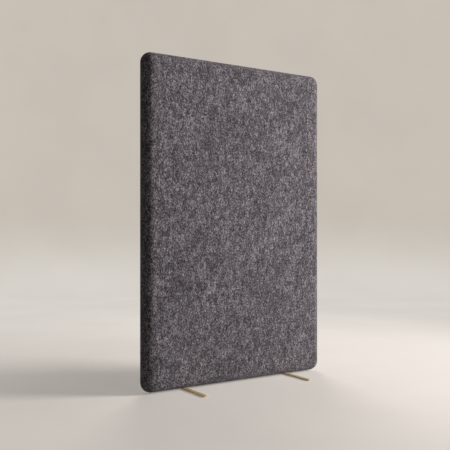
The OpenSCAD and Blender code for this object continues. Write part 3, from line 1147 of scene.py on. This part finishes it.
@dataclass(frozen=True)
class FootLine:
    """Where the two foot bars lie, and how they press into the cover."""

    from_middle: float = 292 * MM
    width: float = 20 * MM
    length: float = 400 * MM
    bottom: float = 1 * MM
    top: float = 7 * MM
    screw_from_middle: float = 14 * MM
    screw_r: float = 3 * MM
    sleeve_r: float = 6 * MM
    shoulder: float = 7 * MM
    clearance: float = 0.3 * MM

    def press(self, points: np.ndarray, above: float) -> np.ndarray:
        """Raises the underside softly where the bars press into it.

        Args:
            points: points of the underside and the rest.
            above: how far above the bars the pressed surface lies.

        Returns:
            The moved points.
        """
        moved = points.copy()
        for side in (-1, 1):
            off = np.abs(points[:, 0] - side * self.from_middle) - self.width / 2 - self.clearance
            share = np.clip(off / self.shoulder, 0, 1)
            pressed = 1 - share * share * (3 - 2 * share)
            moved[:, 2] += pressed * np.maximum(self.top + above - points[:, 2], 0)
        return moved


@dataclass
class FeltCover:
    """The felt cover, one taut skin with a zipped slit under its rear lower edge."""

    slab: SlabForm = field(default_factory=SlabForm)
    zip_line: ZipLine = field(default_factory=ZipLine)
    feet: FootLine = field(default_factory=FootLine)
    wall: float = 2.35 * MM
    step: float = 14 * MM
    arc: int = 14
    ripple: float = 0.3 * MM
    ripple_fade: float = 60 * MM
    # Each wave's height, its radians a metre along X and Z, its shift in front, and its start.
    waves: tuple[tuple[float, float, float, float, float], ...] = (
        (1.0, 23.1, 9.7, 1.3, 0.0),
        (1.0, -11.9, 19.3, 0.0, 2.1),
        (0.6, 37.0, -14.2, 0.0, 0.4),
    )
    hem: float = 3.2 * MM
    hem_line: float = 1.5 * MM
    stitch_sink: float = 0.3 * MM
    stitch_width: float = 1.1 * MM
    lip_lift: float = 0.12 * MM
    lip_width: float = 1.2 * MM
    sewn_past: float = 12 * MM
    edge_round: float = 0.8 * MM
    over_bar: float = 0.05 * MM

    def build(self) -> None:
        """Makes the cover and dresses it."""
        skin = self.slab.build("felt_skin", 0.0, self.arc, self.step)
        self.cut_slit(skin)
        self.add_foot_lines(skin)
        skin.move(self.settle)
        skin.modify("SOLIDIFY", thickness=self.wall, offset=-1.0, use_even_offset=True)
        skin.ease(self.edge_round, segments=3, above_deg=60.0)
        skin.wear(MelangeFelt("melange_felt", Slot.FELT), "felt_cover", fill=1.0)

    def near_zip(self, middle: Vector, normal: Vector) -> bool:
        """Whether a face lies round the zip."""
        return middle.y > 0 and middle.z < self.slab.low_z and abs(middle.x) < self.slab.axis_x

    def cut_slit(self, skin: Piece) -> None:
        """Cuts the lines of the slit and its hem, and opens the slit.

        Args:
            skin: the cover's outer surface.
        """
        line = self.zip_line
        axis = (0.0, 0.0, self.slab.low_z)
        for across in (0.0, self.hem_line, self.hem, self.hem + self.hem_line):
            for side in (-1, 1):
                skin.pick(Pick.FACES, self.near_zip)
                skin.slice(axis, line.side_normal(side * (line.slit_half + across)))
        for x in (-line.length / 2, line.length / 2):
            skin.pick(Pick.FACES, self.near_zip)
            skin.slice((x, 0.0, 0.0), (1.0, 0.0, 0.0))
        skin.pick(Pick.FACES, self.in_slit).edit(lambda: bpy.ops.mesh.delete(type="FACE"))

    def in_slit(self, middle: Vector, normal: Vector) -> bool:
        """Whether a face lies where the slit opens.

        Args:
            middle: the face's middle.
            normal: its normal.

        Returns:
            True in the slit.
        """
        line = self.zip_line
        bearing = abs(line.bearing(np.array([middle]))[0])
        half_turn = math.asin(line.slit_half / self.slab.radius)
        return self.near_zip(middle, normal) and bearing < half_turn and abs(middle.x) < line.length / 2

    def add_foot_lines(self, skin: Piece) -> None:
        """Adds lines along the foot bars, where the pressed felt turns.

        Args:
            skin: the cover's outer surface.
        """
        edge = self.feet.width / 2 + self.feet.clearance
        for side in (-1, 1):
            for off in (edge, edge + 0.3 * self.feet.shoulder, edge + 0.7 * self.feet.shoulder):
                for way in (-1, 1):
                    skin.pick(Pick.FACES, lambda middle, normal: middle.z < self.slab.low_z)
                    skin.slice((side * self.feet.from_middle + way * off, 0.0, 0.0), (1.0, 0.0, 0.0))

    def settle(self, points: np.ndarray) -> np.ndarray:
        """Lets the felt lie as it does: faintly rippled, sewn down at the hem, pressed by the feet.

        Args:
            points: the points of the outer surface.

        Returns:
            The moved points.
        """
        moved = self.slab.snap(points, 0.0)
        moved[:, 1] += np.sign(moved[:, 1]) * self.ripples(moved)
        axis = moved * (1, 0, 0) + (0, 0, self.slab.low_z)
        moved -= directions(moved - axis) * self.sinks(moved)[:, None]
        return self.feet.press(moved, self.over_bar)

    def ripples(self, points: np.ndarray) -> np.ndarray:
        """How far the felt's faint ripples stand out from its flat faces.

        Args:
            points: the points of the outer surface.

        Returns:
            A height for each point, never above zero, and zero off the flat faces.
        """
        x, y, z = points.T
        wave = sum(
            size * np.sin(by_x * x + by_z * z + in_front * (y < 0) + start)
            for size, by_x, by_z, in_front, start in self.waves
        )
        highest = sum(row[0] for row in self.waves)
        flat = np.abs(y) > self.slab.radius - TINY
        edge_x = (self.slab.axis_x - np.abs(x)) / self.ripple_fade
        edge_z = np.minimum(z - self.slab.low_z, self.slab.high_z - z) / self.ripple_fade
        fade = np.clip(edge_x, 0, 1) * np.clip(edge_z, 0, 1) * flat
        return self.ripple * (wave / highest - 1) / 2 * fade

    def sinks(self, points: np.ndarray) -> np.ndarray:
        """How far the stitches draw the felt in, less the lift of its lips beside the slit.

        Args:
            points: the points of the outer surface.

        Returns:
            A depth for each point, and zero away from the zip.
        """
        x, y, z = points.T
        from_slit = np.abs(self.zip_line.bearing(points)) * self.slab.radius - self.zip_line.slit_half
        near = (y > 0) & (z < self.slab.low_z) & (np.abs(x) < self.zip_line.length / 2 + self.sewn_past)
        dip = np.exp(-(((from_slit - self.hem) / self.stitch_width) ** 2))
        lift = np.exp(-(((from_slit - self.lip_width) / self.lip_width) ** 2))
        return (dip * self.stitch_sink - lift * self.lip_lift) * near


@dataclass
class FoamWrap:
    """The two foam halves that wrap the frame and give the panel its rounded edges."""

    slab: SlabForm = field(default_factory=SlabForm)
    zip_line: ZipLine = field(default_factory=ZipLine)
    feet: FootLine = field(default_factory=FootLine)
    inset: float = 2.7 * MM
    parting: float = 0.1 * MM
    fit: float = 0.25 * MM
    step: float = 60 * MM
    pocket_round: float = 12 * MM
    hole_depth: float = 40 * MM
    room_top: float = 47 * MM
    tape_past: float = 13 * MM
    # Each room's half width, and how far from the edge's axis it starts.
    tape_room: tuple[float, float] = (13.2 * MM, 39.5 * MM)
    slider_room: tuple[float, float] = (4.9 * MM, 39.8 * MM)

    def build(self) -> None:
        """Makes both halves."""
        fit = Vector([self.fit] * 3)
        low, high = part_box("left_stile")[0] - fit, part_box("right_stile")[1] + fit
        for side, place in ((-1, "front"), (1, "rear")):
            half = self.slab.build(f"foam_wrap_{place}", self.inset, 8, self.step)
            half.move(lambda points: self.feet.press(points, self.inset))
            half.pick_all().slice(
                (0, side * self.parting, 0), (0, side, 0), clear_inner=True, use_fill=True,
            )
            pocket = Piece.block("pocket", low, high)
            pocket.pick_along(Axis.Y, self.slab.radius).bevel(self.pocket_round, 6)
            half.cut(pocket, *self.sleeve_holes())
            if side > 0:
                half.cut(*self.zip_rooms())
            half.merge(2 * TINY)
            half.wear(CellFoam("cell_foam", Slot.FOAM), f"foam_{place}", fill=1.0)

    def sleeve_holes(self) -> list[Piece]:
        """Makes what cuts the holes of the foot sleeves.

        Returns:
            Four rods.
        """
        feet = self.feet
        return [
            Piece.rod(
                "hole", (x * feet.from_middle, y * feet.screw_from_middle, self.hole_depth / 2),
                feet.sleeve_r + self.fit, self.hole_depth, sides=32,
            )
            for x in (-1, 1) for y in (-1, 1)
        ]

    def zip_rooms(self) -> list[Piece]:
        """Makes what cuts the room of the zip tapes and the slider's inner plate.

        Returns:
            Two blocks.
        """
        half, rooms = self.zip_line.length / 2, []
        for long, (wide, deep) in ((half + self.tape_past, self.tape_room), (half, self.slider_room)):
            room = Piece.block("room", (-long, -wide, deep), (long, wide, self.room_top))
            rooms.append(room.turn_into(self.zip_line.place))
        return rooms


@dataclass
class WoolCores:
    """The four slabs of sound-absorbing wool in the frame's bays."""

    nodes: tuple[str, ...] = ("core_front_upper", "core_front_lower", "core_rear_upper", "core_rear_lower")
    corner: float = 4 * MM
    tuft: float = 1.4 * MM
    columns: int = 30
    rows: int = 22

    def build(self) -> None:
        """Makes each slab with soft edges and a tufted surface."""
        for node in self.nodes:
            low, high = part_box(node)
            batt = Piece.block(node.replace("core", "wool"), low, high)
            batt.pick_all().bevel(self.corner, 3)
            for axis, count in ((Axis.X, self.columns), (Axis.Z, self.rows)):
                batt.divide(axis, (high - low)[axis.value] / 2, count)
            batt.move(lambda points: self.tufted(points, np.array(low), np.array(high)))
            batt.merge()
            batt.wear(WoolBatt("wool_batt", Slot.WOOL), node, fill=0.9, smooth_deg=60.0)

    def tufted(self, points: np.ndarray, low: np.ndarray, high: np.ndarray) -> np.ndarray:
        """Draws the surface in by soft tufts.

        Args:
            points: the slab's points.
            low: its lowest corner.
            high: its highest corner.

        Returns:
            The moved points.
        """
        x, y, z = points.T
        wave = np.sin(131 * x + 17 * z + 40 * y) * np.sin(113 * z - 29 * x + 1.0)
        wave += 0.5 * np.sin(290 * x - 41 * z) * np.sin(253 * z + 61 * x)
        middle = (low + high) / 2
        drawn = self.tuft * (0.5 - wave / 3)
        moved = points.copy()
        moved[:, 1] -= np.sign(y - middle[1]) * drawn
        return moved


@dataclass
class Frame:
    """The timber frame, its board, and the fixings that hold it together."""

    uprights: tuple[str, ...] = ("left_stile", "right_stile")
    rails: tuple[str, ...] = ("top_rail", "bottom_rail", "mid_batten_front", "mid_batten_rear")
    fixings: tuple[str, ...] = (
        "frame_screws", "batten_screws", "plate_screws", "foot_nuts", "foot_sleeves",
        "foot_plate_left", "foot_plate_right",
    )

    def build(self) -> None:
        """Dresses the CAD nodes, whose shapes are right."""
        beech = Timber("beech_dowel", Slot.BEECH, Axis.X, (0.80, 0.64, 0.43), (0.66, 0.47, 0.28), 3 * MM)
        dress_nodes(Timber("pine_upright", Slot.TIMBER, Axis.Z), *self.uprights)
        dress_nodes(Timber("pine_rail", Slot.TIMBER, Axis.X), *self.rails)
        dress_nodes(beech, "frame_dowels")
        dress_nodes(PressedBoard("pressed_board", Slot.BOARD), "septum_board")
        dress_nodes(ZincSteel("zinc_steel", Slot.STEEL), *self.fixings)


@dataclass
class Feet:
    """The two foot bars with their screws and floor pads."""

    line: FootLine = field(default_factory=FootLine)
    corner: float = 5 * MM
    eased: float = 0.5 * MM
    hole_fit: float = 0.2 * MM
    hole_z: float = 5 * MM
    hole_depth: float = 12 * MM
    sink_fit: float = 0.05 * MM

    def build(self) -> None:
        """Makes the bars, and dresses the screws and pads."""
        brass = BrushedMetal(
            "foot_brass", Slot.FOOT_BRASS, (0.80, 0.62, 0.35), (0.54, 0.39, 0.19), rough=0.42, metallic=0.5,
        )
        for side, node in ((-1, "foot_bar_left"), (1, "foot_bar_right")):
            self.bar(side, node).wear(brass, node)
        dress_nodes(BrushedMetal("screw_brass", Slot.FOOT_BRASS, brush=Axis.X), "foot_screws")
        dress_nodes(PadRubber("pad_rubber", Slot.PAD_RUBBER), "floor_pads_left", "floor_pads_right")

    def bar(self, side: int, node: str) -> Piece:
        """One flat bar, with rounded corners, eased edges and countersunk holes.

        Args:
            side: -1 for the left bar and 1 for the right one.
            node: the CAD node that it replaces.

        Returns:
            The bar.
        """
        line, fit, r = self.line, self.sink_fit, self.line.screw_r
        x, half_w, half_l = side * line.from_middle, line.width / 2, line.length / 2
        corners = (x - half_w, -half_l, line.bottom), (x + half_w, half_l, line.top)
        bar = Piece.block(node.replace("bar", "flat"), *corners)
        bar.pick_along(Axis.Z, self.eased).bevel(self.corner, 5)
        bar.pick(Pick.EDGES, lambda a, b: abs(a.z - b.z) < TINY).bevel(self.eased, 3)
        bar.merge()
        for y in (-line.screw_from_middle, line.screw_from_middle):
            hole = Piece.rod("hole", (x, y, self.hole_z), r + self.hole_fit, self.hole_depth, sides=40)
            sink = Piece.rod(
                "sink", (x, y, line.bottom + r / 2 - fit), 2 * (r + fit), r + 2 * fit,
                sides=40, end_radius=r + fit,
            )
            bar.cut(hole, sink)
        return bar.merge()


ZIP_METAL = BrushedMetal(
    "zip_metal", Slot.ZIP_METAL, (0.45, 0.33, 0.16), (0.22, 0.15, 0.07), Axis.Z, 0.12 * MM, 0.33,
)


@dataclass
class Zip:
    """The zip's tapes, its rows of teeth, its stops, and the stitches that sew it in."""

    line: ZipLine = field(default_factory=ZipLine)
    tape_top: float = 42.4 * MM
    tape_t: float = 0.6 * MM
    tape_w: float = 12 * MM
    tape_eased: float = 0.15 * MM
    tape_columns: int = 111
    tape_rows: int = 12
    gap_half: float = 0.7 * MM
    pitch: float = 2 * MM
    coil_end: float = 427 * MM
    wire_r: float = 0.29 * MM
    # One turn of the coil's wire in mm, from the zip's middle and the tape's outer face.
    turn: tuple[Point, ...] = (
        (0.0, 2.75, 0.75), (0.10, 2.55, 1.16), (0.42, 1.05, 1.19), (0.50, 0.76, 1.02),
        (0.52, 0.75, 0.46), (0.62, 1.00, 0.30), (1.84, 2.50, 0.32), (pitch / MM, 2.75, 0.75),
    )
    join: float = 0.05 * MM
    stitch_pitch: float = 4 * MM
    stitch_across: float = 7.8 * MM
    stitch_sunk: float = 0.24 * MM
    stitch_past: float = 3 * MM
    stitch_half: Point = (1.6 * MM, 0.3 * MM, 0.28 * MM)

    def build(self) -> None:
        """Makes both halves of the zip, and dresses its stops."""
        for side, name in ((-1, "upper"), (1, "lower")):
            tape, coil, row = (make(side, name) for make in (self.tape, self.coil, self.stitches))
            tape.wear(WovenTape("woven_tape", Slot.ZIP_TAPE), f"zip_tape_{name}")
            coil.wear(Nylon("nylon_coil", Slot.ZIP_COIL), f"zip_coil_{name}", smooth_deg=60.0)
            row.wear(Thread("sewing_thread", Slot.ZIP_TAPE), smooth_deg=60.0)
        dress_nodes(ZIP_METAL, "zip_stops")

    def tape(self, side: int, name: str) -> Piece:
        """One woven tape, curved round the edge.

        Args:
            side: -1 above the coils and 1 below them.
            name: upper or lower.

        Returns:
            The tape.
        """
        half = self.line.length / 2 + self.tape_w
        low, high = sorted((side * self.gap_half, side * (self.gap_half + self.tape_w)))
        tape = Piece.block(
            f"tape_{name}", (-half, low, self.tape_top - self.tape_t), (half, high, self.tape_top),
        )
        tape.divide(Axis.X, half, self.tape_columns).divide(Axis.Y, self.tape_w / 2, self.tape_rows)
        tape.ease(self.tape_eased, 2, 60.0).move(self.curl)
        return tape.merge().turn_into(self.line.place)

    @staticmethod
    def curl(points: np.ndarray) -> np.ndarray:
        """Rolls points of the zip's own frame round the edge, each at the radius it has as height.

        Args:
            points: the flat points.

        Returns:
            The rolled points.
        """
        moved = points.copy()
        moved[:, 2] = np.sqrt(np.maximum(points[:, 2] ** 2 - points[:, 1] ** 2, 0))
        return moved

    def add_turn(self) -> None:
        """Adds one turn of the coil's wire as a mesh."""
        bpy.ops.curve.primitive_nurbs_path_add()
        path = bpy.context.object
        path.data.splines.clear()
        spline = path.data.splines.new("POLY")
        spline.points.add(len(self.turn) - 1)
        for point, (x, y, z) in zip(spline.points, self.turn):
            point.co = (x * MM, y * MM, self.tape_top + z * MM, 1.0)
        path.data.bevel_depth = self.wire_r
        path.data.bevel_resolution = 0
        path.data.use_fill_caps = False
        path.select_set(True)
        bpy.ops.object.convert(target="MESH")

    def coil(self, side: int, name: str) -> Piece:
        """One row of coil teeth: a turn of wire, modelled once and repeated.

        Args:
            side: -1 for the upper row and 1 for the lower one.
            name: upper or lower.

        Returns:
            The row.
        """
        row = Piece.placed(f"teeth_{name}", self.add_turn)
        row.copies(
            round(2 * self.coil_end / self.pitch) - 1, (self.pitch, 0, 0),
            use_merge_vertices=True, merge_threshold=self.join,
        )
        start = -self.coil_end + (0 if side > 0 else self.pitch / 2)
        row.turn_into(Matrix.Translation((start, 0, 0)))
        if side < 0:
            row.turn_into(Matrix.Scale(-1, 4, (0, 1, 0)))
        return row.close().turn_into(self.line.place)

    def stitches(self, side: int, name: str) -> Piece:
        """A row of stitches through the felt's hem.

        Args:
            side: -1 for the row above the slit and 1 for the one below it.
            name: upper or lower.

        Returns:
            The row.
        """
        row = Piece.placed(
            f"stitches_{name}", bpy.ops.mesh.primitive_uv_sphere_add,
            segments=6, ring_count=5, radius=1.0, rotation=(0, math.pi / 2, 0),
        )
        row.turn_into(Matrix.Diagonal((*self.stitch_half, 1.0)))
        across, r = side * self.stitch_across, self.line.slab.radius
        height = math.sqrt((r - self.stitch_sunk) ** 2 - across**2)
        tilt = Matrix.Rotation(-math.asin(across / r), 4, "X")
        half = self.line.length / 2 + self.stitch_past
        row.turn_into(Matrix.Translation((-half, across, height)) @ tilt)
        row.copies(round(2 * half / self.stitch_pitch) + 1, (self.stitch_pitch, 0, 0))
        return row.turn_into(self.line.place)


@dataclass
class Slider:
    """The zip's slider: two plates with walls and a post between them, and an arched bridge.

    Corners and levels are taken from the slider's middle, with Z as the distance from the
    edge's axis.
    """

    line: ZipLine = field(default_factory=ZipLine)
    half: float = 5.5 * MM
    half_w: float = 4 * MM
    inner: tuple[float, float] = (40.33 * MM, 41.28 * MM)
    outer: tuple[float, float] = (44.22 * MM, 45.2 * MM)
    corner: float = 1.4 * MM
    eased: float = 0.2 * MM
    narrowing: float = 0.16
    wall: tuple[Point, Point] = (
        (-4.3 * MM, -0.28 * MM, 42.75 * MM), (4.1 * MM, 0.28 * MM, 44.9 * MM),
    )
    wall_y: float = 3.7 * MM
    wall_eased: float = 0.1 * MM
    post: tuple[Point, Point] = (
        (2.5 * MM, -0.38 * MM, 40.53 * MM), (5.4 * MM, 0.38 * MM, 44.8 * MM),
    )
    arch_r: float = 2.7 * MM
    arch_foot: float = 45.15 * MM
    arch_section: Point = (1 * MM, 1.6 * MM, 1.0)
    arch_eased: float = 0.28 * MM

    def build(self) -> None:
        """Makes the slider and dresses it."""
        walls = [
            self.part("wall", self.wall, y).ease(self.wall_eased, 1).move(self.taper)
            for y in (-self.wall_y, self.wall_y)
        ]
        post = self.part("post", self.post)
        body, under = self.plate("slider_body", self.outer), self.plate("under", self.inner)
        body.cut(under, *walls, post, self.arch(), how="UNION").merge().turn_into(self.line.place)
        body.wear(ZIP_METAL, "zip_slider", body=Body.SLIDER)

    def part(self, name: str, corners: tuple[Point, Point], y: float = 0.0) -> Piece:
        """A block of the slider.

        Args:
            name: its name.
            corners: its lowest and highest corner, from the slider's middle.
            y: how far off the middle it is moved.

        Returns:
            The block.
        """
        x = self.line.slider_x
        low, high = ((x + along, y + across, out) for along, across, out in corners)
        return Piece.block(name, low, high)

    def plate(self, name: str, levels: tuple[float, float]) -> Piece:
        """One plate of the slider, with rounded corners and a narrower back end.

        Args:
            name: its name.
            levels: how far from the edge's axis its two faces lie.

        Returns:
            The plate.
        """
        corners = (-self.half, -self.half_w, levels[0]), (self.half, self.half_w, levels[1])
        plate = self.part(name, corners).pick_along(Axis.Z, self.eased).bevel(self.corner, 4)
        return plate.move(self.taper).ease(self.eased, 2)

    def taper(self, points: np.ndarray) -> np.ndarray:
        """Narrows the slider towards its back end.

        Args:
            points: the slider's points.

        Returns:
            The moved points.
        """
        moved = points.copy()
        back = np.clip((self.line.slider_x - points[:, 0]) / self.half, 0, 1)
        moved[:, 1] *= 1 - self.narrowing * back
        return moved

    def arch(self) -> Piece:
        """The bridge that carries the pull, spun from its section.

        Returns:
            The bridge.
        """
        arch = Piece.placed(
            "bridge", bpy.ops.mesh.primitive_plane_add, self.arch_section,
            size=1.0, location=(self.arch_r, 0, 0),
        )
        arch.pick_all().edit(lambda: bpy.ops.mesh.bevel(
            offset=self.arch_eased, segments=3, affect="VERTICES", clamp_overlap=False,
        ))
        arch.pick_all().edit(lambda: bpy.ops.mesh.spin(
            steps=18, angle=-math.pi, center=(0, 0, 0), axis=(0, 1, 0), dupli=False,
        ))
        return arch.turn_into(Matrix.Translation((self.line.slider_x, 0, self.arch_foot))).close()


@dataclass
class Pull:
    """The zip's pull: a crossbar, two legs, and a flat tab with a round tip and a hole."""

    line: ZipLine = field(default_factory=ZipLine)
    axis: float = 46.8 * MM
    half_t: float = 0.5 * MM
    half_w: float = 2.2 * MM
    length: float = 11 * MM
    tip_r: float = 3 * MM
    hole_r: float = 1.2 * MM
    eye_half: float = 1.1 * MM
    eye_reach: float = 3.878 * MM
    eye_round: float = 0.6 * MM
    eased: float = 0.14 * MM
    past: float = 2 * MM

    def build(self) -> None:
        """Makes the pull and dresses it."""
        x, base, t, past = self.line.slider_x, self.axis, self.half_t, self.past
        tip_z = base + self.length
        tab = Piece.block("pull_tab", (x - t, -self.half_w, base), (x + t, self.half_w, tip_z))
        tip = Piece.rod("tip", (x, 0, tip_z), self.tip_r, 2 * t, Axis.X, 48)
        eye = Piece.block(
            "eye", (x - past, -self.eye_half, base - past), (x + past, self.eye_half, base + self.eye_reach),
        )
        eye.pick(Pick.EDGES, lambda a, b: abs(a.x - b.x) > past and a.z > base).bevel(self.eye_round, 4)
        hole = Piece.rod("hole", (x, 0, tip_z), self.hole_r, 2 * past, Axis.X, 40)
        tab.cut(tip, how="UNION").cut(eye, hole)
        bar = Piece.rod("crossbar", (x, 0, base), t, 2 * self.half_w, Axis.Y, 24)
        tab.cut(bar, how="UNION").merge().ease(self.eased, 2, 50.0)
        tab.merge().turn_into(self.line.place)
        tab.wear(ZIP_METAL, "zip_pull", body=Body.PULL)


# Stage

WARM_LIGHT = (1.0, 0.97, 0.96)
COOL_LIGHT = (0.95, 0.95, 1.0)


@dataclass(frozen=True)
class Lamp:
    """One soft square lamp, turned to the panel's middle."""

    name: str
    place: Point
    size: float
    watts: float
    colour: Colour
    target: Point = (0.0, 0.0, 0.75)

    def build(self) -> None:
        """Puts up the lamp."""
        Piece.clear_desk()
        bpy.ops.object.light_add(type="AREA", location=self.place)
        lamp = bpy.context.object
        lamp.name = self.name
        way = Vector(self.target) - Vector(self.place)
        lamp.rotation_euler = way.to_track_quat("-Z", "Y").to_euler()
        lamp.data.shape = "SQUARE"
        lamp.data.size = self.size
        lamp.data.energy = self.watts
        lamp.data.color = self.colour
        lamp.visible_camera = False


@dataclass
class Stage:
    """The camera, the pale round studio and its soft light."""

    eye: Point = (-1.9161, -2.7752, 0.7336)
    look: Point = (0.5562, 0.8311, 0.0)
    lens: float = 56.56
    sensor: float = 36.0
    shift_y: float = 0.0044
    floor_r: float = 4.3
    sweep: float = 1.2
    sweep_steps: int = 14
    wall_h: float = 4.5
    surround: Colour = (0.80, 0.78, 0.76)
    surround_light: float = 0.10
    lamps: tuple[Lamp, ...] = (
        Lamp("key", (3.85, -2.58, 2.1), 1.6, 335.0, WARM_LIGHT),
        Lamp("front_fill", (0.5, -4.3, 2.0), 2.0, 20.0, COOL_LIGHT),
        Lamp("rear_fill", (2.3, 3.7, 2.2), 2.0, 140.0, WARM_LIGHT),
        Lamp("left_rear_fill", (-4.0, 2.2, 1.8), 2.0, 10.0, COOL_LIGHT),
    )

    def build(self) -> None:
        """Sets up the stage."""
        self.camera()
        self.studio()
        for lamp in self.lamps:
            lamp.build()
        self.world()

    def camera(self) -> None:
        """Puts the camera where the photograph was taken from."""
        Piece.clear_desk()
        bpy.ops.object.camera_add(location=self.eye)
        camera = bpy.context.object
        camera.rotation_euler = Vector(self.look).to_track_quat("-Z", "Y").to_euler()
        camera.data.lens = self.lens
        camera.data.sensor_width = self.sensor
        camera.data.shift_y = self.shift_y
        bpy.context.scene.camera = camera

    def studio(self) -> None:
        """A round floor that sweeps up into a wall."""
        floor = Piece.placed(
            "studio", bpy.ops.mesh.primitive_circle_add,
            vertices=128, radius=self.floor_r, fill_type="NGON",
        )
        level, rim = 0.0, self.floor_r
        for i in range(1, self.sweep_steps + 2):
            angle = math.pi / 2 * min(i, self.sweep_steps) / self.sweep_steps
            out, up = self.sweep * math.sin(angle), self.sweep * (1 - math.cos(angle))
            up = up if i <= self.sweep_steps else self.wall_h
            wider, rise = (self.floor_r + out) / rim, up - level
            floor.pick(Pick.EDGES, lambda *ends: all(self.on_rim(end, rim, level) for end in ends))
            floor.edit(
                lambda: bpy.ops.mesh.extrude_region_move(TRANSFORM_OT_translate={"value": (0, 0, rise)}),
                lambda: bpy.ops.transform.resize(value=(wider, wider, 1.0), center_override=(0, 0, 0)),
            )
            level, rim = up, self.floor_r + out
        floor.take()
        bpy.ops.object.shade_smooth_by_angle(angle=math.radians(40))
        floor.obj.data.materials.append(StudioPaper("studio_paper").material())

    @staticmethod
    def on_rim(end: Vector, rim: float, level: float) -> bool:
        """Whether a point lies on the rim at a radius and a height."""
        return abs(math.hypot(end.x, end.y) - rim) < 1 * MM and abs(end.z - level) < 1 * MM

    def world(self) -> None:
        """Makes the even pale surround."""
        world = bpy.data.worlds.new("surround")
        world.use_nodes = True
        inputs = world.node_tree.nodes["Background"].inputs
        inputs["Color"].default_value = (*self.surround, 1.0)
        inputs["Strength"].default_value = self.surround_light
        bpy.context.scene.world = world


def main() -> None:
    """Builds the screen, piece by piece, and its stage."""
    logging.basicConfig(level=logging.INFO, format="%(name)s: %(message)s")
    bpy.context.scene.view_settings.view_transform = "Standard"
    screen = FeltCover(), FoamWrap(), WoolCores(), Frame(), Feet(), Zip(), Slider(), Pull()
    for part in (Stage(), *screen):
        part.build()
        log.info("%s built", type(part).__name__)


if __name__ == "__main__":
    main()
